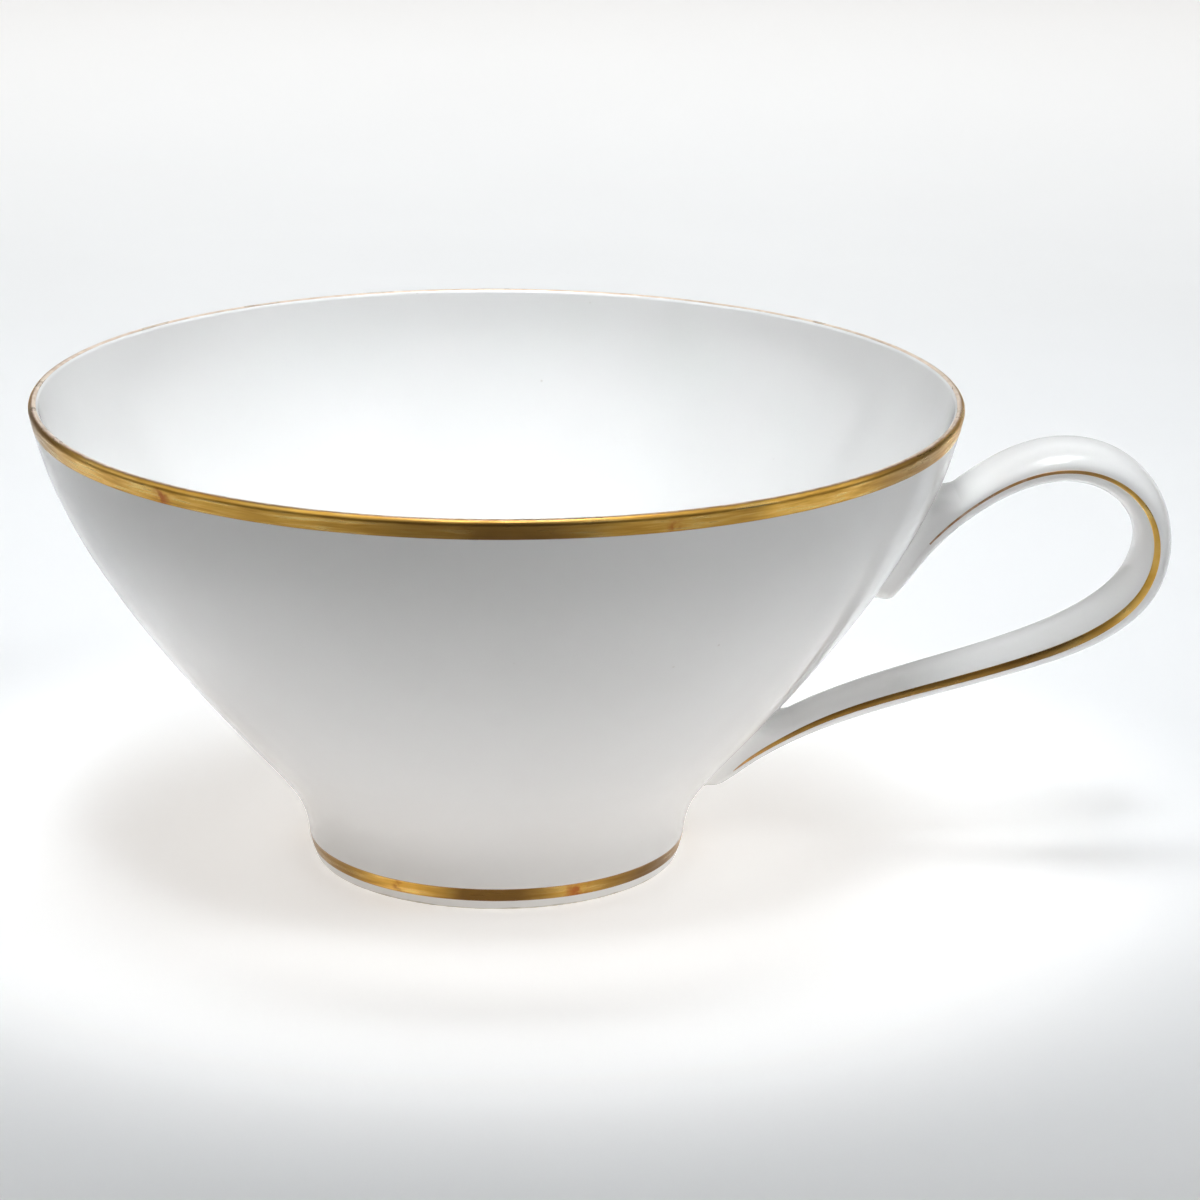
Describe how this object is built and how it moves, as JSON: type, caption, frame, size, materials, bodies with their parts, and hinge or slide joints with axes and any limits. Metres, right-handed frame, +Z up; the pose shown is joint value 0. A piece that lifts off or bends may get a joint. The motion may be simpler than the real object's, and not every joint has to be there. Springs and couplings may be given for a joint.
{
  "type": "teacup",
  "caption": "Wide conical porcelain teacup on a flared foot, with a looped ribbon handle and gilded rim, foot and handle edges.",
  "frame": {"origin": "on the resting plane under the foot, halfway along the overall length from the far side of the rim to the outside of the handle", "axes": "+Z up along the axis of the bowl, +X horizontal from the bowl towards the handle, +Y across the handle's strap"},
  "size_m": [0.129, 0.1048, 0.0541],
  "materials": {
    "glazed_porcelain": "smooth glossy clear glaze over cool white porcelain, unglazed only under the foot",
    "fired_slip": "porcelain slip fired with the body and glazed over",
    "burnished_gold": "burnished gold with fine brush streaks and small worn spots"
  },
  "bodies": {
    "root": {"bowl": "glazed_porcelain", "foot_ring": "glazed_porcelain", "handle": "glazed_porcelain", "upper_handle_joint": "fired_slip", "lower_handle_joint": "fired_slip", "rim_gilding": "burnished_gold", "foot_gilding": "burnished_gold", "handle_gilding_front": "burnished_gold", "handle_gilding_back": "burnished_gold"}
  },
  "joints": []
}
